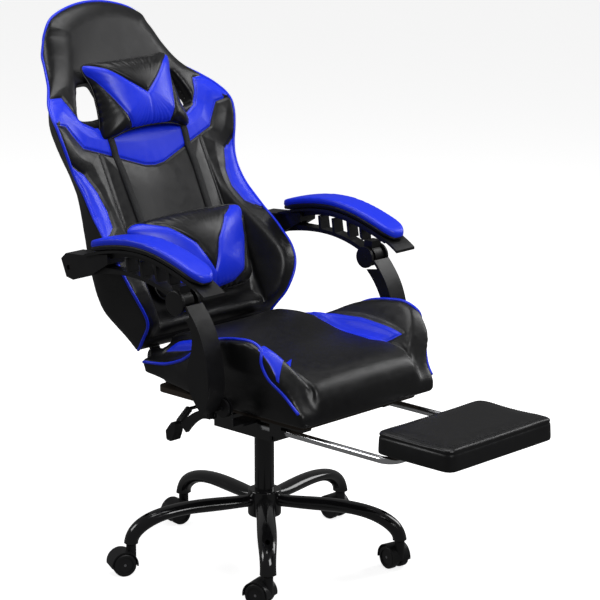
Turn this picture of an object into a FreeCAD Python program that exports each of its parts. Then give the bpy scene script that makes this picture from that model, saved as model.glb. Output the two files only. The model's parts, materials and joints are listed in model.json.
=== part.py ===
import FreeCAD, Part
import math
import os

# Gaming chair.  Millimetres, +Z up, the sitter faces -Y, the sitter's right is -X.
# The origin is on the floor, on the axis of the gas lift.

# ---- base star and casters -------------------------------------------------
leg_count = 5
leg_heading = -43.9            # degrees from -Y towards +X, first leg
stem_circle_radius = 310.0     # from the column axis to each caster stem
hub_radius = 37.0
hub_bottom = 100.0
hub_top = 160.0
leg_axis_height = 135.0        # centre of the straight part of a leg
leg_straight_end = 170.0       # where the leg starts to turn down
leg_end_height = 70.0          # open lower end of each leg
leg_wall = 2.0
leg_root_half_width = 12.0
leg_middle_half_width = 21.0
leg_end_half_width = 18.0
leg_root_half_height = 15.0
leg_middle_half_height = 14.0
leg_end_half_height = 15.5
socket_height = 26.0
stem_radius = 5.5
stem_top_gap = 3.0             # air above the stem in its socket
wheel_radius = 26.0
wheel_width = 18.0
wheel_edge_round = 4.0
wheel_trail = 20.0             # from the stem axis to the wheel axis
caster_web = 8.0               # middle wall between the two wheels
wheel_side_gap = 1.0
hood_gap = 1.8                 # between a tyre and the hood
hood_wall = 2.6
stem_boss_radius = 11.0
stem_boss_top = 66.0
axle_radius = 3.0
trail_headings = (-164.0, 169.0, 179.0, -98.0, -116.0)
shaft_gap = 0.05               # radial running clearance of every shaft

# ---- gas lift --------------------------------------------------------------
column_radius = 22.0
column_wall = 2.5
column_top = 289.0
bushing_length = 60.0
bushing_lip = 4.0
piston_radius = 14.0
piston_bottom = 150.0
piston_top = 358.0

# ---- mechanism and seat ----------------------------------------------------
mechanism_bottom = 297.0
mechanism_half_width = 65.0
mechanism_front = -90.0
mechanism_rear = 100.0
mechanism_wall = 3.0
flange_thickness = 6.0
flange_reach = 110.0
socket_radius = 24.0
bolt_spacing = 170.0
bolt_radius = 4.0
board_thickness = 12.0
board_half_width = 185.0
board_front = -292.0
board_rear = 152.0
seat_bottom = 406.0
seat_front = -320.0
seat_rear = 172.0
seat_centre_half_width = 158.0
seat_centre_rear = 116.0
seat_top = 502.0
bolster_inner = 162.0
bolster_base_half_width = 205.0
bolster_half_width = 250.0
bolster_top = 580.0

# ---- recliner and backrest -------------------------------------------------
recline_y = 185.0
recline_z = 455.0
recline_rest = 25.0            # degrees from the vertical
recliner_pin_radius = 6.0
recliner_plate = 5.0
recliner_plate_inner = 150.0
recliner_round = 24.0
back_length = 826.0
shoulder_half_width = 268.0
back_plate_gap = 1.0
frame_bar = 14.0
frame_start = 60.0
frame_top = 520.0
spring_outer = 19.0
spring_width = 8.0

# ---- armrests --------------------------------------------------------------
arm_centre_x = 295.0
arm_pad_half_width = 31.0
arm_pad_thickness = 27.0
arm_shell = 6.0
arm_beam_half_width = 15.0
arm_pivot_y = 276.0            # rear pivot, on the backrest
arm_pivot_z = 673.0
arm_pivot_radius = 6.0
knob_y = -53.0                 # front pivot, on the post
knob_z = 650.0
knob_radius = 27.0
knob_thickness = 8.0
knob_bolt_radius = 5.0
open_pivot_gap = 0.4
post_inner_x = 265.0
post_outer_x = 313.0
post_wall = 6.0
post_flange = 8.0
post_bolt_radius = 5.0
arm_hub_radius = 22.0
post_ear_radius = 24.0

# ---- footrest --------------------------------------------------------------
rail_half_spacing = 160.0
rail_radius = 8.0
rail_wall = 1.5
rail_height = 372.0
rail_rear = -96.0
rail_bend = 30.0
footrest_axis_y = -520.0
footrest_pad_rear = -478.0
footrest_pad_front = -682.0
footrest_half_width = 165.0
footrest_board_thickness = 8.0
footrest_pad_top = 430.0
footrest_clip_width = 24.0
footrest_clip_x = 90.0
guide_length = 34.0
guide_front_y = -205.0
guide_rear_y = -135.0
guide_half_width = 14.0
guide_floor = 3.0

# ---- levers ----------------------------------------------------------------
lever_rod_radius = 4.0
lever_rod_y = 40.0
lever_rod_z = 376.0
lever_inner_x = -40.0
lever_knee_x = -190.0
lever_rod_gap = 1.5             # lets the rod tip up a little in the housing wall
lever_hand = (-236.0, 26.0, 356.0)
bellows_radius = 8.5
bellows_ribs = 7
recline_lever_pivot = (-248.0, -80.0, 402.0)
recline_lever_width = 10.0
lever_pin_radius = 4.0


def vec(x, y, z):
    return FreeCAD.Vector(x, y, z)


def heading(angle):
    """Unit vector on the floor, angle in degrees from -Y towards +X."""
    turn = math.radians(angle)
    return vec(math.sin(turn), -math.cos(turn), 0.0)


def cylinder_x(radius, x0, x1, y, z):
    return Part.makeCylinder(radius, abs(x1 - x0), vec(min(x0, x1), y, z), vec(1, 0, 0))


def cylinder_z(radius, z0, z1, x=0.0, y=0.0):
    return Part.makeCylinder(radius, z1 - z0, vec(x, y, z0))


def box(x0, x1, y0, y1, z0, z1):
    return Part.makeBox(x1 - x0, y1 - y0, z1 - z0, vec(x0, y0, z0))


def join(shapes):
    whole = shapes[0].fuse(shapes[1:]) if len(shapes) > 1 else shapes[0]
    return whole.removeSplitter()


def group(shapes):
    return Part.makeCompound(shapes)


def mirrored(shape):
    return shape.mirror(vec(0, 0, 0), vec(1, 0, 0))


def smooth(points):
    """One open spline edge through the points."""
    curve = Part.BSplineCurve()
    curve.interpolate(points)
    return curve.toShape()


def polyline(points):
    return [Part.makeLine(a, b) for a, b in zip(points, points[1:])]


def prism(edges, direction):
    """Solid between a closed flat outline and its copy moved by direction."""
    return Part.Face(Part.Wire(Part.__sortEdges__(edges))).extrude(direction)


def side_slab(upper, lower, x0, x1):
    """Slab between two splines given as (y, z) points that run the same way, from x0 to x1."""
    top = [vec(x0, y, z) for y, z in upper]
    bottom = [vec(x0, y, z) for y, z in lower]
    ends = [Part.makeLine(top[0], bottom[0]), Part.makeLine(top[-1], bottom[-1])]
    return prism([smooth(top), smooth(bottom)] + ends, vec(x1 - x0, 0, 0))


# ---- backrest frame: s runs up the backrest from the recline axis, t out of its front ----
lean = math.radians(recline_rest)
back_up = vec(0, math.sin(lean), math.cos(lean))
back_out = vec(0, -math.cos(lean), math.sin(lean))


back_origin = vec(0, recline_y, recline_z)


def on_back(x, s, t):
    return vec(x, 0, 0) + back_origin + back_up * s + back_out * t


# ---- base ------------------------------------------------------------------
def leg_path_point(step):
    """Centre line of a leg: straight out from the hub, then a quarter ellipse down to its end."""
    drop = leg_axis_height - leg_end_height
    reach = stem_circle_radius - leg_straight_end
    if step <= 0:
        return leg_straight_end + step, leg_axis_height, 0.0
    turn = min(step, 1.0) * math.pi / 2
    r = leg_straight_end + reach * math.sin(turn)
    z = leg_end_height + drop * math.cos(turn)
    if step >= 1:
        return r, z - (step - 1.0) * 100.0, math.pi / 2
    return r, z, math.atan2(drop * math.sin(turn), reach * math.cos(turn))


def leg_ring(step, half_width, half_height, out, side):
    r, z, slope = leg_path_point(step)
    centre = out * r + vec(0, 0, z)
    across = out * math.sin(slope) + vec(0, 0, math.cos(slope))
    if half_width >= half_height:
        oval = Part.Ellipse(centre + side * half_width, centre + across * half_height, centre)
    else:
        oval = Part.Ellipse(centre + across * half_height, centre + side * half_width, centre)
    return Part.Wire(oval.toShape())


def leg_body(out, inset, overrun):
    side = out.cross(vec(0, 0, 1))
    root = (leg_root_half_width, leg_root_half_height)
    middle = (leg_middle_half_width, leg_middle_half_height)
    end = (leg_end_half_width, leg_end_half_height)
    root_step = hub_radius - 12.0 - leg_straight_end
    sizes = [(root_step, root), (-70.0, middle), (0.001, middle), (0.35, middle), (0.7, end), (0.999, end)]
    if overrun:
        sizes.append((1.0 + overrun / 100.0, end))
    rings = [leg_ring(step, w - inset, h - inset, out, side) for step, (w, h) in sizes]
    return Part.makeLoft(rings, True, False)


def base_legs():
    hub_solid = cylinder_z(hub_radius, hub_bottom - 20, hub_top + 20)
    legs, sockets = [], []
    for index in range(leg_count):
        out = heading(leg_heading + index * 360.0 / leg_count)
        bore = leg_body(out, leg_wall, 2.0)
        below = cylinder_z(60, leg_end_height - 60, leg_end_height, *tuple(out * stem_circle_radius)[:2])
        legs.append(leg_body(out, 0.0, 0.0).cut(bore).cut(hub_solid).cut(below))
        x, y, _ = tuple(out * stem_circle_radius)
        slab = cylinder_z(30, leg_end_height, leg_end_height + socket_height, x, y)
        hole_top = leg_end_height + socket_height - 2.0
        hole = cylinder_z(stem_radius + shaft_gap, leg_end_height - 5, hole_top, x, y)
        sockets.append(bore.common(slab).cut(hole))
    return legs, sockets


def base_hub():
    hub = cylinder_z(hub_radius, hub_bottom, hub_top)
    rims = [e for e in hub.Edges if abs(e.Length - 2 * math.pi * hub_radius) < 0.1]
    hub = hub.makeFillet(4.0, rims)
    return hub.cut(cylinder_z(column_radius, hub_bottom - 1, hub_top + 1))


def column_tube():
    tube = cylinder_z(column_radius, hub_bottom, column_top)
    return tube.cut(cylinder_z(column_radius - column_wall, hub_bottom + 4.0, column_top + 1))


def column_bushing():
    sleeve = cylinder_z(column_radius - column_wall, column_top - bushing_length, column_top)
    lip = cylinder_z(column_radius, column_top, column_top + bushing_lip)
    bore = cylinder_z(piston_radius + shaft_gap, column_top - bushing_length - 1, column_top + bushing_lip + 1)
    return join([sleeve, lip]).cut(bore)


def lift_piston():
    rod = cylinder_z(piston_radius, piston_bottom, piston_top)
    ends = [e for e in rod.Edges if abs(e.Length - 2 * math.pi * piston_radius) < 0.1]
    return rod.makeChamfer(1.5, ends)


# ---- casters: modelled with the stem on Z and the wheels towards +X, then turned and placed ----
def place_caster(shape, index):
    stem = heading(leg_heading + index * 360.0 / leg_count) * stem_circle_radius
    shape.rotate(vec(0, 0, 0), vec(0, 0, 1), trail_headings[index] - 90.0)
    shape.translate(stem)
    return shape


def wheel_cylinder(radius, y0, y1):
    return Part.makeCylinder(radius, y1 - y0, vec(wheel_trail, y0, wheel_radius), vec(0, 1, 0))


def caster_parts():
    web_side = caster_web / 2
    wheel_in = web_side + wheel_side_gap
    wheel_out = wheel_in + wheel_width
    hood_in = wheel_radius + hood_gap
    hood_out = hood_in + hood_wall
    hood = wheel_cylinder(hood_out, -wheel_out, wheel_out)
    hood = hood.cut(wheel_cylinder(hood_in, -wheel_out - 1, -web_side))
    hood = hood.cut(wheel_cylinder(hood_in, web_side, wheel_out + 1))
    boss = cylinder_z(stem_boss_radius, wheel_radius, stem_boss_top)
    for side in (-1, 1):
        y0, y1 = sorted((side * web_side, side * (wheel_out + 1)))
        boss = boss.cut(wheel_cylinder(hood_in, y0, y1))
    low = box(-60, 80, -40, 40, -10, wheel_radius - 4.0)
    hood = hood.cut(low)
    web = wheel_cylinder(wheel_radius - 5.0, -web_side, web_side)
    stem_bottom = wheel_radius + math.sqrt(hood_out ** 2 - wheel_trail ** 2)
    shell = join([hood, web, boss])
    pin_hole = cylinder_z(stem_radius, stem_bottom, stem_boss_top + 1)
    axle_hole = wheel_cylinder(axle_radius, -web_side - 1, web_side + 1)
    shell = shell.cut(pin_hole).cut(axle_hole)
    stem = cylinder_z(stem_radius, stem_bottom, leg_end_height + socket_height - 2.0 - stem_top_gap)
    axle = wheel_cylinder(axle_radius, -wheel_out + 2.0, wheel_out - 2.0)
    wheels = []
    for side in (-1, 1):
        y0, y1 = sorted((side * wheel_in, side * wheel_out))
        wheel = wheel_cylinder(wheel_radius, y0, y1)
        rims = [e for e in wheel.Edges if abs(e.Length - 2 * math.pi * wheel_radius) < 0.1]
        wheel = wheel.makeFillet(wheel_edge_round, rims)
        y0, y1 = sorted((side * (wheel_out - 2.0), side * (wheel_out + 1)))
        wheel = wheel.cut(wheel_cylinder(wheel_radius - 8.0, y0, y1))
        wheels.append(wheel.cut(wheel_cylinder(axle_radius + shaft_gap, -wheel_out - 1, wheel_out + 1)))
    return group([stem, axle]), shell, group(wheels)


# ---- mechanism and seat ----------------------------------------------------
def mechanism_housing():
    top = seat_bottom - board_thickness
    outer = box(-mechanism_half_width, mechanism_half_width, mechanism_front, mechanism_rear,
                mechanism_bottom + 3.0, top - flange_thickness)
    inner = box(-mechanism_half_width + mechanism_wall, mechanism_half_width - mechanism_wall,
                mechanism_front + mechanism_wall, mechanism_rear - mechanism_wall,
                mechanism_bottom + 3.0 + mechanism_wall, top)
    corners = [e for e in outer.Edges if abs(e.BoundBox.ZLength - (top - flange_thickness
                                                                   - mechanism_bottom - 3.0)) < 0.1]
    pan = outer.makeChamfer(8.0, corners).cut(inner)
    flange = box(-flange_reach, flange_reach, -flange_reach, flange_reach, top - flange_thickness, top)
    socket = cylinder_z(socket_radius, mechanism_bottom, top - flange_thickness)
    whole = pan.fuse([flange, socket])
    whole = whole.cut(cylinder_z(piston_radius + shaft_gap, mechanism_bottom - 1, piston_top + 1))
    for x, y in bolt_places():
        whole = whole.cut(cylinder_z(bolt_radius, top - flange_thickness - 1, top + 1, x, y))
    rod_hole = cylinder_x(lever_rod_radius + lever_rod_gap, -mechanism_half_width - 1,
                          -mechanism_half_width + 6.0, lever_rod_y, lever_rod_z)
    return whole.cut(rod_hole)


def bolt_places():
    half = bolt_spacing / 2
    return [(x, y) for x in (-half, half) for y in (-half, half)]


def mechanism_bolts():
    top = seat_bottom - board_thickness
    bolts = []
    for x, y in bolt_places():
        head = cylinder_z(bolt_radius * 1.7, top - flange_thickness - 5.0, top - flange_thickness, x, y)
        bolts.append(join([head, cylinder_z(bolt_radius, top - flange_thickness, seat_bottom - 1.0, x, y)]))
    return group(bolts)


def seat_board():
    board = box(-board_half_width, board_half_width, board_front, board_rear,
                seat_bottom - board_thickness, seat_bottom)
    corners = [e for e in board.Edges if abs(e.BoundBox.ZLength - board_thickness) < 0.1]
    board = board.makeFillet(25.0, corners)
    for x, y in bolt_places():
        board = board.cut(cylinder_z(bolt_radius, seat_bottom - board_thickness - 1, seat_bottom - 1.0, x, y))
    return board


def seat_cushion():
    top = [(seat_front, seat_top - 50), (seat_front + 16, seat_top - 17), (seat_front + 70, seat_top),
           (-100, seat_top + 4), (0, seat_top + 2), (seat_centre_rear, seat_top - 16)]
    low = [(seat_front, seat_bottom), (seat_centre_rear, seat_bottom)]
    ends = [(seat_front, seat_top - 50), (seat_front, seat_bottom)]
    x0 = -seat_centre_half_width
    edges = [smooth([vec(x0, y, z) for y, z in top])]
    edges += polyline([vec(x0, y, z) for y, z in ends])
    edges += polyline([vec(x0, y, z) for y, z in low])
    edges.append(Part.makeLine(vec(x0, *low[1]), vec(x0, *top[-1])))
    return prism(edges, vec(2 * seat_centre_half_width, 0, 0))


def seat_bolster():
    """Right-hand (-X) side bolster: a side profile cut to a leaning cross-section."""
    x0, x1 = -bolster_half_width, -bolster_inner
    top = [(seat_rear, 466), (60, 488), (-20, 530), (-90, 566), (-160, bolster_top), (-215, bolster_top),
           (-258, 548), (-292, 482), (seat_front, 436)]
    side = [smooth([vec(x0, y, z) for y, z in top])]
    side += polyline([vec(x0, y, z) for y, z in ((seat_front, 436), (seat_front, seat_bottom),
                                                 (seat_rear, seat_bottom), (seat_rear, 466))])
    profile = prism(side, vec(x1 - x0, 0, 0))
    section = [(-bolster_base_half_width, seat_bottom), (-bolster_base_half_width - 12, 470),
               (-bolster_half_width + 8, 520), (-bolster_half_width, bolster_top + 10),
               (-bolster_half_width + 26, bolster_top + 10), (x1, 500), (x1, seat_bottom)]
    points = [vec(x, seat_front - 5, z) for x, z in section]
    return profile.common(prism(polyline(points + points[:1]), vec(0, seat_rear - seat_front + 10, 0)))


def recliner_brackets():
    x0, x1 = recliner_plate_inner, recliner_plate_inner + recliner_plate
    disc = cylinder_x(recliner_round, x0, x1, recline_y, recline_z)
    points = [vec(x0, y, z) for y, z in ((seat_centre_rear + 6, seat_bottom), (board_rear - 4, seat_bottom),
                                         (recline_y + 20, recline_z - 13), (recline_y - 20, recline_z + 13),
                                         (seat_centre_rear + 6, seat_bottom + 24))]
    web = prism(polyline(points + points[:1]), vec(recliner_plate, 0, 0))
    foot = box(x0 - 26, x0, seat_centre_rear + 6, board_rear - 4, seat_bottom, seat_bottom + 4)
    plate = join([disc, web, foot])
    plate = plate.cut(cylinder_x(recliner_pin_radius, x0 - 1, x1 + 1, recline_y, recline_z))
    return group([plate, mirrored(plate)])


def recliner_pins():
    pin = cylinder_x(recliner_pin_radius, recliner_plate_inner - 20, recliner_plate_inner + recliner_plate + 2,
                     recline_y, recline_z)
    return group([pin, mirrored(pin)])


def recliner_springs():
    """Flat spiral springs, as plain rings on the pins beside the backrest plates."""
    x1 = recliner_plate_inner - 2 * back_plate_gap - recliner_plate
    ring = cylinder_x(spring_outer, x1 - spring_width, x1, recline_y, recline_z)
    ring = ring.cut(cylinder_x(recliner_pin_radius, x1 - spring_width - 1, x1 + 1, recline_y, recline_z))
    return group([ring, mirrored(ring)])


def footrest_guides():
    blocks = []
    top = seat_bottom - board_thickness
    for x in (-rail_half_spacing, rail_half_spacing):
        for y in (guide_front_y, guide_rear_y):
            block = box(x - guide_half_width, x + guide_half_width, y - guide_length / 2, y + guide_length / 2,
                        rail_height - rail_radius - guide_floor, top)
            bore = Part.makeCylinder(rail_radius + shaft_gap, guide_length + 2,
                                     vec(x, y - guide_length / 2 - 1, rail_height), vec(0, 1, 0))
            blocks.append(block.cut(bore))
    return group(blocks)


def post_pivot():
    """Lower pivot of each arm post; the post, arm, backrest and seat make a parallelogram."""
    return knob_y - (arm_pivot_y - recline_y), knob_z - (arm_pivot_z - recline_z)


def post_mounts():
    y, z = post_pivot()
    top = seat_bottom - board_thickness
    tab_x0, tab_x1 = post_inner_x - 6.0, post_inner_x - 1.0
    bar = box(board_half_width - 8, tab_x1, y - 22, y + 22, top - 6, top)
    tab = box(tab_x0, tab_x1, y - 22, y + 22, top - 6, z)
    round_end = cylinder_x(22.0, tab_x0, tab_x1, y, z)
    bolt = cylinder_x(post_bolt_radius, tab_x0, post_inner_x + post_wall + 5, y, z)
    mount = join([bar, tab, round_end, bolt])
    return group([mount, mirrored(mount)])


def lever_bracket():
    x, y, z = recline_lever_pivot
    top = seat_bottom - board_thickness
    tab_x = x + recline_lever_width / 2 + 2.0
    arm = box(tab_x, -board_half_width + 8, y - 14, y + 14, top - 4, top)
    tab = box(tab_x, tab_x + 4, y - 10, y + 10, top - 4, z + 8)
    pin = cylinder_x(lever_pin_radius, x - recline_lever_width / 2 - 1, tab_x, y, z - 2)
    return join([arm, tab, pin])


# ---- levers ----------------------------------------------------------------
def height_lever():
    hand = vec(*lever_hand)
    knee = vec(lever_knee_x, lever_rod_y, lever_rod_z)
    inner = vec(lever_inner_x, lever_rod_y, lever_rod_z)
    rod = Part.makeCylinder(lever_rod_radius, (knee - inner).Length, inner, knee - inner)
    rod = join([rod, Part.makeSphere(lever_rod_radius, knee),
                Part.makeCylinder(lever_rod_radius, (hand - knee).Length, knee, hand - knee)])
    run = (hand - knee).normalize()
    length = (hand - knee).Length - 4.0
    pitch = length / bellows_ribs
    rings = [Part.makeCone(bellows_radius, bellows_radius - 2.0, pitch, knee + run * (2.0 + i * pitch), run)
             for i in range(bellows_ribs)]
    bellows = join(rings).cut(rod)
    drop = [(hand.y - 6, hand.z + 6), (hand.y + 8, hand.z + 4), (hand.y + 26, hand.z - 18),
            (hand.y + 24, hand.z - 38), (hand.y + 8, hand.z - 40), (hand.y, hand.z - 20)]
    x0 = hand.x - 13.0
    points = [vec(x0, y, z) for y, z in drop]
    paddle = prism(polyline(points + points[:1]), vec(26, 0, 0))
    paddle = paddle.makeFillet(5.0, [e for e in paddle.Edges if abs(e.BoundBox.XLength - 26) < 0.1])
    paddle = paddle.cut(bellows).cut(rod)
    return rod, bellows, paddle


def recline_lever():
    x, y, z = recline_lever_pivot
    x0 = x - recline_lever_width / 2
    upper = [(y - 8, z + 8), (y + 24, z + 3), (y + 56, z - 16), (y + 80, z - 40)]
    lower = [(y - 9, z - 10), (y + 16, z - 14), (y + 44, z - 32), (y + 64, z - 54)]
    lever = side_slab(upper, lower, x0, x0 + recline_lever_width)
    return lever.cut(cylinder_x(lever_pin_radius + shaft_gap, x0 - 2, x0 + recline_lever_width + 2, y, z - 2))


# ---- footrest --------------------------------------------------------------
def footrest_rails():
    x, r = rail_half_spacing, rail_bend
    y = footrest_axis_y
    z = rail_height
    k = r * (1 - math.sqrt(0.5))
    edges = [Part.makeLine(vec(-x, rail_rear, z), vec(-x, y + r, z)),
             Part.Arc(vec(-x, y + r, z), vec(-x + k, y + k, z), vec(-x + r, y, z)).toShape(),
             Part.makeLine(vec(-x + r, y, z), vec(x - r, y, z)),
             Part.Arc(vec(x - r, y, z), vec(x - k, y + k, z), vec(x, y + r, z)).toShape(),
             Part.makeLine(vec(x, y + r, z), vec(x, rail_rear, z))]
    path = Part.Wire(edges)
    rings = [Part.Wire(Part.Circle(vec(-x, rail_rear, z), vec(0, -1, 0), radius).toShape())
             for radius in (rail_radius, rail_radius - rail_wall)]
    solids = [path.makePipeShell([ring], True, False) for ring in rings]
    return solids[0].cut(solids[1])


def rail_end_caps():
    caps = []
    for x in (-rail_half_spacing, rail_half_spacing):
        plug = Part.makeCylinder(rail_radius - rail_wall, 12, vec(x, rail_rear - 12, rail_height), vec(0, 1, 0))
        head = Part.makeCylinder(rail_radius - 0.5, 3, vec(x, rail_rear, rail_height), vec(0, 1, 0))
        caps.append(join([plug, head]))
    return group(caps)


def footrest_clips():
    base = rail_height + rail_radius + 3.0
    clips = []
    for x in (-footrest_clip_x, footrest_clip_x):
        x0 = x - footrest_clip_width / 2
        ring = cylinder_x(rail_radius + 3.0, x0, x0 + footrest_clip_width, footrest_axis_y, rail_height)
        pad = box(x0, x0 + footrest_clip_width, footrest_axis_y - 20, footrest_axis_y + 20,
                  rail_height + rail_radius, base)
        bore = cylinder_x(rail_radius + shaft_gap, x0 - 1, x0 + footrest_clip_width + 1,
                          footrest_axis_y, rail_height)
        clips.append(join([ring.common(box(x0, x0 + footrest_clip_width, footrest_axis_y - 20,
                                           footrest_axis_y + 20, rail_height - 20, base)), pad]).cut(bore))
    return group(clips)


def footrest_board():
    base = rail_height + rail_radius + 3.0
    board = box(-footrest_half_width + 8, footrest_half_width - 8, footrest_pad_front + 8,
                footrest_pad_rear - 8, base, base + footrest_board_thickness)
    corners = [e for e in board.Edges if abs(e.BoundBox.ZLength - footrest_board_thickness) < 0.1]
    return board.makeFillet(12.0, corners)


def footrest_pad():
    base = rail_height + rail_radius + 3.0
    pad = box(-footrest_half_width, footrest_half_width, footrest_pad_front, footrest_pad_rear,
              base, footrest_pad_top)
    corners = [e for e in pad.Edges if abs(e.BoundBox.ZLength - (footrest_pad_top - base)) < 0.1]
    return pad.makeFillet(18.0, corners).cut(footrest_board())


# ---- armrests --------------------------------------------------------------
def arm_post():
    """Right-hand (-X) post: a channel of front flange, outer side wall and inner pivot wall."""
    y0, z0 = post_pivot()
    flange_front = [(y0 + 14, z0 - 9), (y0 + 1, z0 + 18), (y0 - 4, z0 + 60), (y0 + 3, z0 + 110),
                    (y0 + 20, z0 + 162), (y0 + 44, z0 + 198), (y0 + 60, z0 + 216)]
    flange_back = [(y + post_flange, z) for y, z in flange_front]
    flange = side_slab(flange_front, flange_back, -post_outer_x, -post_inner_x)
    web_back = [(y0 + 22, z0 - 4), (y0 + 50, z0 + 30), (y0 + 62, z0 + 66), (y0 + 50, z0 + 112),
                (y0 + 44, z0 + 150), (y0 + 62, z0 + 186)]
    web_front = [(y + 2, z) for y, z in flange_front[:-1]]
    outer = side_slab(web_front, web_back, -post_outer_x, -post_outer_x + post_wall)
    inner_back = [(y0 + 22, z0 - 4), (y0 + 26, z0 + 40), (y0 + 28, z0 + 80), (y0 + 36, z0 + 120),
                  (y0 + 56, z0 + 160), (y0 + 84, z0 + 192)]
    inner = side_slab(web_front, inner_back, -post_inner_x - post_wall, -post_inner_x)
    foot = cylinder_x(20.0, -post_inner_x - post_wall, -post_inner_x, y0, z0)
    ear = cylinder_x(post_ear_radius, -post_inner_x - post_wall, -post_inner_x, knob_y, knob_z)
    post = join([flange, outer, inner, foot, ear])
    swept = cylinder_x(knob_radius + 2.0, -post_outer_x - 5, -post_inner_x - post_wall, knob_y, knob_z)
    post = post.cut(swept)
    post = post.cut(cylinder_x(post_bolt_radius + shaft_gap, -post_inner_x - 20, -post_inner_x + 1, y0, z0))
    return post.cut(cylinder_x(knob_bolt_radius + open_pivot_gap, -post_inner_x - 20, -post_inner_x + 1,
                               knob_y, knob_z))


pad_top_line = [(218, 740), (150, 758), (40, 768), (-55, 750), (-115, 728), (-150, 708)]


def pad_bottom_line(offset):
    """The pad's top line moved down and drawn in a little at its ends."""
    return [(y, z - offset) for y, z in pad_top_line]


def arm_pad():
    x0 = -arm_centre_x - arm_pad_half_width
    pad = side_slab(pad_top_line, pad_bottom_line(arm_pad_thickness), x0, -arm_centre_x + arm_pad_half_width)
    return pad


def arm_frame():
    """Moulded arm: shell under the pad, beam, curved lower rib, front hub and rear block."""
    half = arm_pad_half_width - 1.0
    shell = side_slab(pad_bottom_line(arm_pad_thickness), pad_bottom_line(arm_pad_thickness + arm_shell),
                      -arm_centre_x - half, -arm_centre_x + half)
    x0, x1 = -arm_centre_x - arm_beam_half_width, -arm_centre_x + arm_beam_half_width
    under = pad_bottom_line(arm_pad_thickness + arm_shell)
    keel_top = [(150, under[1][1]), (40, under[2][1]), (-55, under[3][1]), (-115, under[4][1])]
    keel_low = [(150, under[1][1] - 14), (40, under[2][1] - 12), (-55, under[3][1] - 14), (-100, under[4][1] - 8)]
    keel = side_slab(keel_top, keel_low, x0, x1)
    rib_top = [(200, 690), (130, 690), (60, 689), (0, 678), (-45, 660)]
    rib_low = [(205, 668), (130, 680), (60, 680), (0, 668), (-53, 646)]
    rib = side_slab(rib_top, rib_low, x0, x1)
    struts = [side_slab([(y, 720), (y - 4, 690)], [(y - 6, 720), (y - 12, 684)], x0, x1)
              for y in (104, 62, 16, -22)]
    hub_solid = cylinder_x(arm_hub_radius, x0, x1, knob_y, knob_z)
    neck = box(x0, x1, knob_y - 10, knob_y + 14, knob_z, knob_z + 36)
    rear_points = [(300, 690), (284, 704), (232, 708), (150, 722), (150, 700), (205, 668), (262, 648), (284, 652)]
    corners = [vec(x0 - 10, y, z) for y, z in rear_points]
    block = prism(polyline(corners + corners[:1]), vec(x1 - x0 + 20, 0, 0))
    frame = join([keel, rib] + struts + [hub_solid, neck, block])
    above = side_slab([(y, z + 60) for y, z in pad_top_line], pad_bottom_line(arm_pad_thickness + arm_shell),
                      -arm_centre_x - 60, -arm_centre_x + 60)
    frame = join([frame.cut(above), shell.cut(arm_pad())])
    frame = frame.cut(cylinder_x(knob_bolt_radius, x0 - 1, x1 + 1, knob_y, knob_z))
    return frame.cut(cylinder_x(arm_pivot_radius + shaft_gap, x0 - 12, x1 + 20, arm_pivot_y, arm_pivot_z))


def arm_knob():
    outer_face = -arm_centre_x - arm_beam_half_width
    disc = cylinder_x(knob_radius, outer_face - knob_thickness, outer_face, knob_y, knob_z)
    rims = [e for e in disc.Edges if abs(e.Length - 2 * math.pi * knob_radius) < 0.1]
    disc = disc.makeFillet(2.5, rims)
    bolt = cylinder_x(knob_bolt_radius, outer_face - 1, -post_inner_x + 1.0, knob_y, knob_z)
    return join([disc, bolt])


# ---- backrest --------------------------------------------------------------
back_half_widths = [(26, 196), (76, 222), (128, 250), (193, 255), (260, 248), (328, 240), (382, 238),
                    (436, 250), (495, 266), (554, 268), (596, 247), (650, 202), (709, 176), (760, 155),
                    (800, 118)]


def back_outline(t):
    """Closed outline wire of the backrest, seen from the front, at depth t."""
    right = [on_back(-w, s, t) for s, w in back_half_widths]
    left = [on_back(w, s, t) for s, w in reversed(back_half_widths)]
    crown = Part.Arc(right[-1], on_back(0, back_length, t), left[0]).toShape()
    return Part.Wire([smooth(right), crown, smooth(left), Part.makeLine(left[-1], right[0])])


def neck_opening():
    corners = [(-150, 628), (-176, 548), (-116, 542)]
    points = [on_back(x, s, -120) for x, s in corners]
    cutter = prism(polyline(points + points[:1]), back_out * 320)
    rounds = [e for e in cutter.Edges if abs(e.Length - 320) < 0.1]
    return cutter.makeFillet(9.0, rounds)


def arm_studs():
    stud = cylinder_x(arm_pivot_radius, -arm_centre_x - arm_beam_half_width - 6, -frame_side_x(),
                      arm_pivot_y, arm_pivot_z)
    boss = cylinder_x(14.0, -arm_centre_x + arm_beam_half_width + 11, -frame_side_x(), arm_pivot_y, arm_pivot_z)
    return join([stud, boss])


def frame_side_x():
    """Outer face of the frame's side bars, just inside the seat's recliner plates."""
    return recliner_plate_inner - back_plate_gap


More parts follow.
